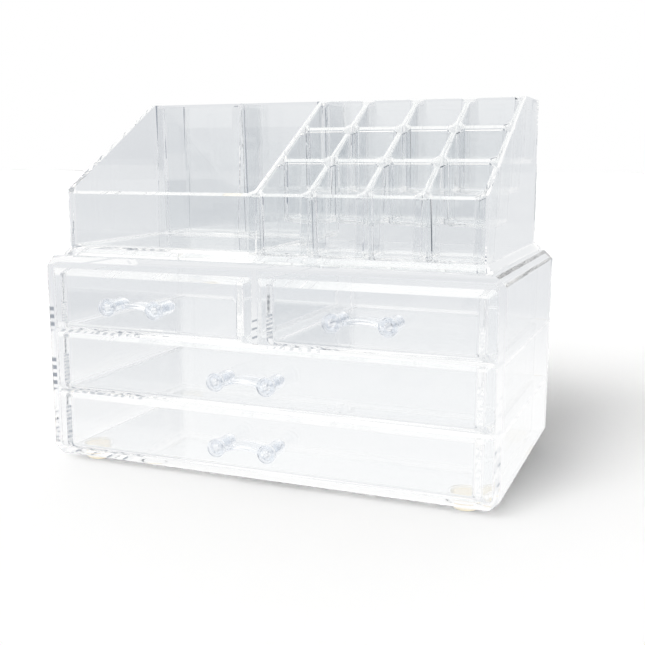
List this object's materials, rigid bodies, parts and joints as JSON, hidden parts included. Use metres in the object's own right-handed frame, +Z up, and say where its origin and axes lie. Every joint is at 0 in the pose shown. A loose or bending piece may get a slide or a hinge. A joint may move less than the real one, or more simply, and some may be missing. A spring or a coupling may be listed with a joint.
{
  "type": "makeup organizer",
  "caption": "Clear plastic makeup organizer: a chest of drawers with arched pull handles and a lift-off top tray with a sloping grid of lipstick slots.",
  "frame": {"origin": "on the floor, under the middle of the whole object's bounding box", "axes": "+X to the right along the drawer fronts, +Y to the back, +Z up"},
  "size_m": [0.238, 0.1454, 0.1895],
  "materials": {
    "clear_casing": "clear, polished",
    "clear_drawer": "clear, polished",
    "clear_tray": "clear, polished",
    "clear_handle": "clear, polished",
    "amber_rubber": "translucent, smooth"
  },
  "bodies": {
    "chest": {"casing": "clear_casing", "foot_front_left": "amber_rubber", "foot_front_right": "amber_rubber", "foot_rear_left": "amber_rubber", "foot_rear_right": "amber_rubber"},
    "compartment_tray": {"tray": "clear_tray"},
    "top_left_drawer": {"drawer_top_left": "clear_drawer", "handle_bow_top_left": "clear_handle", "handle_pin_left_top_left": "clear_handle", "handle_pin_right_top_left": "clear_handle"},
    "top_right_drawer": {"drawer_top_right": "clear_drawer", "handle_bow_top_right": "clear_handle", "handle_pin_left_top_right": "clear_handle", "handle_pin_right_top_right": "clear_handle"},
    "middle_drawer": {"drawer_middle": "clear_drawer", "handle_bow_middle": "clear_handle", "handle_pin_left_middle": "clear_handle", "handle_pin_right_middle": "clear_handle"},
    "bottom_drawer": {"drawer_bottom": "clear_drawer", "handle_bow_bottom": "clear_handle", "handle_pin_left_bottom": "clear_handle", "handle_pin_right_bottom": "clear_handle"}
  },
  "joints": [
    {"name": "top_left_slide", "type": "slide", "parent": "chest", "child": "top_left_drawer", "axis": [0, -1, 0], "range_m": [0, 0.105]},
    {"name": "top_right_slide", "type": "slide", "parent": "chest", "child": "top_right_drawer", "axis": [0, -1, 0], "range_m": [0, 0.105]},
    {"name": "middle_slide", "type": "slide", "parent": "chest", "child": "middle_drawer", "axis": [0, -1, 0], "range_m": [0, 0.105]},
    {"name": "bottom_slide", "type": "slide", "parent": "chest", "child": "bottom_drawer", "axis": [0, -1, 0], "range_m": [0, 0.105]},
    {"name": "tray_lift", "type": "slide", "parent": "chest", "child": "compartment_tray", "axis": [0, 0, 1], "range_m": [0, 0.09]}
  ]
}
